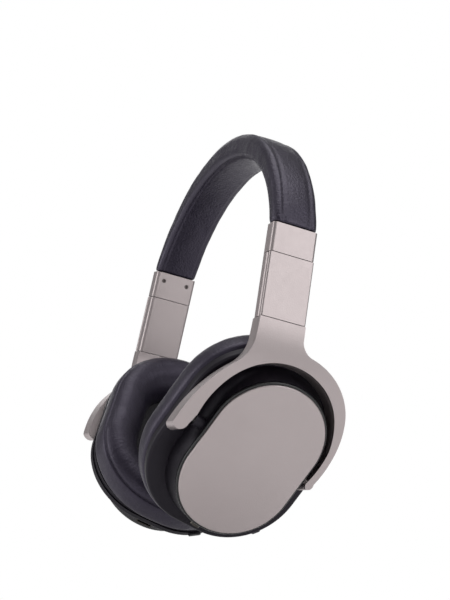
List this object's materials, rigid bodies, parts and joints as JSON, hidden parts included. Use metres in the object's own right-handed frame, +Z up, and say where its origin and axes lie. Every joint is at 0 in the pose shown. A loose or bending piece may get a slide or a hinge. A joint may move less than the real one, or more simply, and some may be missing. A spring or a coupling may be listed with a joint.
{
  "type": "over-ear headphones",
  "caption": "Closed-back over-ear headphones: sprung leather headband, sliding arms, swivelling metal yokes and tilting oval ear cups with thick soft pads.",
  "frame": {"origin": "middle of the headband's underside, where it rests on a head or a stand", "axes": "+Z up, +X towards the wearer's left ear, the wearer faces -Y"},
  "size_m": [0.1654, 0.0882, 0.1994],
  "materials": {
    "leather": "soft fine grain",
    "foam": "soft foam, stands in for foam",
    "steel": "brushed",
    "anodised_metal": "bead blasted, anodised taupe",
    "pad_leather": "soft, fine grain",
    "grille_cloth": "fine acoustic cloth",
    "magnet": "nickel plated",
    "diaphragm": "thin film",
    "circuit_board": "green solder mask",
    "battery": "foil pouch",
    "socket_metal": "plated",
    "grey_plastic": "moulded",
    "button_plastic": "satin",
    "black_plastic": "satin black"
  },
  "bodies": {
    "headband": {"cap_screw_left_1": "steel", "cap_screw_left_2": "steel", "cap_screw_right_1": "steel", "cap_screw_right_2": "steel", "end_cap_left": "anodised_metal", "end_cap_right": "anodised_metal", "headband_cover": "leather", "headband_lining": "foam", "headband_padding": "foam", "headband_spring": "steel", "rail_guide_left": "grey_plastic", "rail_guide_right": "grey_plastic"},
    "slider_left": {"slider_rail_left": "steel", "slider_shell_left": "anodised_metal", "slider_skin_left": "anodised_metal"},
    "yoke_left": {"pivot_pin_front_left": "steel", "pivot_pin_rear_left": "steel", "swivel_pin_left": "steel", "yoke_frame_left": "anodised_metal", "yoke_skin_left": "anodised_metal"},
    "cup_left": {"baffle_left": "black_plastic", "circuit_board_left": "circuit_board", "cup_housing_left": "black_plastic", "cup_plate_left": "anodised_metal", "diaphragm_left": "diaphragm", "driver_basket_left": "black_plastic", "driver_grille_left": "grille_cloth", "driver_magnet_left": "magnet", "ear_pad_left": "pad_leather", "pad_ring_left": "black_plastic", "plate_rim_left": "black_plastic", "jack_socket": "socket_metal"},
    "slider_right": {"slider_rail_right": "steel", "slider_shell_right": "anodised_metal", "slider_skin_right": "anodised_metal"},
    "yoke_right": {"pivot_pin_front_right": "steel", "pivot_pin_rear_right": "steel", "swivel_pin_right": "steel", "yoke_frame_right": "anodised_metal", "yoke_skin_right": "anodised_metal"},
    "cup_right": {"baffle_right": "black_plastic", "circuit_board_right": "circuit_board", "cup_housing_right": "black_plastic", "cup_plate_right": "anodised_metal", "diaphragm_right": "diaphragm", "driver_basket_right": "black_plastic", "driver_grille_right": "grille_cloth", "driver_magnet_right": "magnet", "ear_pad_right": "pad_leather", "pad_ring_right": "black_plastic", "plate_rim_right": "black_plastic", "charging_port": "socket_metal", "battery": "battery"},
    "button_volume_up": {"button_volume_up": "button_plastic"},
    "button_play": {"button_play": "button_plastic"},
    "button_volume_down": {"button_volume_down": "button_plastic"},
    "power_switch": {"power_switch": "button_plastic"}
  },
  "joints": [
    {"name": "arm_slide_left", "type": "slide", "parent": "headband", "child": "slider_left", "axis": [0.0889, 0, -0.996], "range_m": [0, 0.016]},
    {"name": "cup_swivel_left", "type": "hinge", "parent": "slider_left", "child": "yoke_left", "pos_m": [0.07752, 0, -0.09257], "axis": [0.0889, 0, -0.996], "range_deg": [-5, 90]},
    {"name": "cup_tilt_left", "type": "hinge", "parent": "yoke_left", "child": "cup_left", "pos_m": [0.05726, 0.00692, -0.14853], "axis": [0.1294, -0.9659, 0.2241], "range_deg": [0, 15]},
    {"name": "arm_slide_right", "type": "slide", "parent": "headband", "child": "slider_right", "axis": [-0.0889, 0, -0.996], "range_m": [0, 0.016]},
    {"name": "cup_swivel_right", "type": "hinge", "parent": "slider_right", "child": "yoke_right", "pos_m": [-0.07752, 0, -0.09257], "axis": [0.0889, 0, 0.996], "range_deg": [-5, 90]},
    {"name": "cup_tilt_right", "type": "hinge", "parent": "yoke_right", "child": "cup_right", "pos_m": [-0.05726, 0.00692, -0.14853], "axis": [0.1294, 0.9659, -0.2241], "range_deg": [0, 15]},
    {"name": "button_volume_up_press", "type": "slide", "parent": "cup_right", "child": "button_volume_up", "axis": [-0.2868, -0.8192, 0.4967], "range_m": [0, 0.00045], "stiffness_N_per_m": 2500},
    {"name": "button_play_press", "type": "slide", "parent": "cup_right", "child": "button_play", "axis": [-0.3993, -0.6018, 0.6916], "range_m": [0, 0.00045], "stiffness_N_per_m": 2500},
    {"name": "button_volume_down_press", "type": "slide", "parent": "cup_right", "child": "button_volume_down", "axis": [-0.4728, -0.3256, 0.8188], "range_m": [0, 0.00045], "stiffness_N_per_m": 2500},
    {"name": "power_switch_slide", "type": "slide", "parent": "cup_left", "child": "power_switch", "axis": [-0.3009, -0.7986, -0.5212], "range_m": [0, 0.003]}
  ]
}
